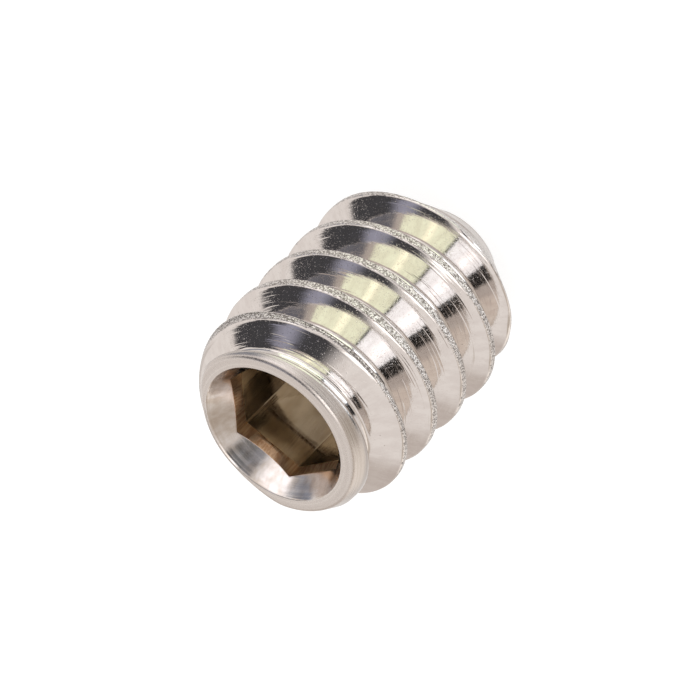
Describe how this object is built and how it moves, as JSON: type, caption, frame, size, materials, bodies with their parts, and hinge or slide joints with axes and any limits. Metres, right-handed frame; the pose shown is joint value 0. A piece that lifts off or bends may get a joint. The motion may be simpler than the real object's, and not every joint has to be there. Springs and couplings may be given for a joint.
{
  "type": "socket set screw",
  "caption": "Headless screw with a coarse right-hand thread, a countersunk hexagon socket in one end and a chamfered flat point at the other.",
  "frame": {"origin": "centre of the flat point, on the surface that the screw stands on", "axes": "+Z along the screw's axis, out of the socket; +X towards a corner of the hexagon"},
  "size_m": [0.0046, 0.0046, 0.0063],
  "materials": {
    "stainless_steel": "bright turned stainless steel"
  },
  "bodies": {
    "root": {"set_screw": "stainless_steel"}
  },
  "joints": []
}
